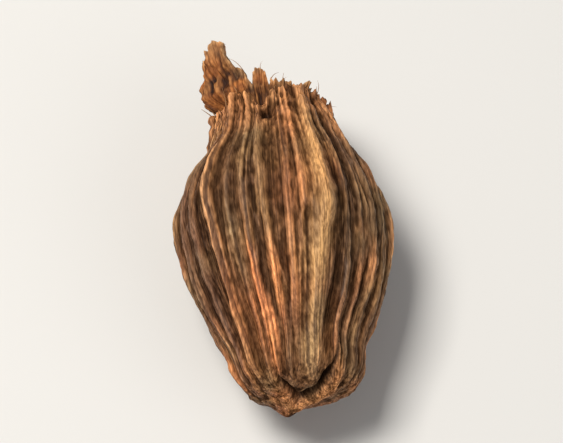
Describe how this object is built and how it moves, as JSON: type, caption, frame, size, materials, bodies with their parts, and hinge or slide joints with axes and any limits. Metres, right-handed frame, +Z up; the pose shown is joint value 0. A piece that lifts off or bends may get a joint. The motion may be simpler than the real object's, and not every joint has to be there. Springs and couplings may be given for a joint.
{
  "type": "black cardamom pod",
  "caption": "Dried, ribbed seed pod with a blunt creased tip and the torn remains of its calyx at the other end, lying on its side.",
  "frame": {"origin": "on the surface the pod lies on, under the middle of its bounding box", "axes": "+Z up, +Y along the pod from its blunt tip towards its calyx, +X across its width"},
  "size_m": [0.021, 0.0386, 0.0162],
  "materials": {
    "husk_skin": "dry, matte, rough",
    "calyx_tissue": "dry, matte, papery"
  },
  "bodies": {
    "root": {"husk": "husk_skin", "calyx": "calyx_tissue"}
  },
  "joints": []
}
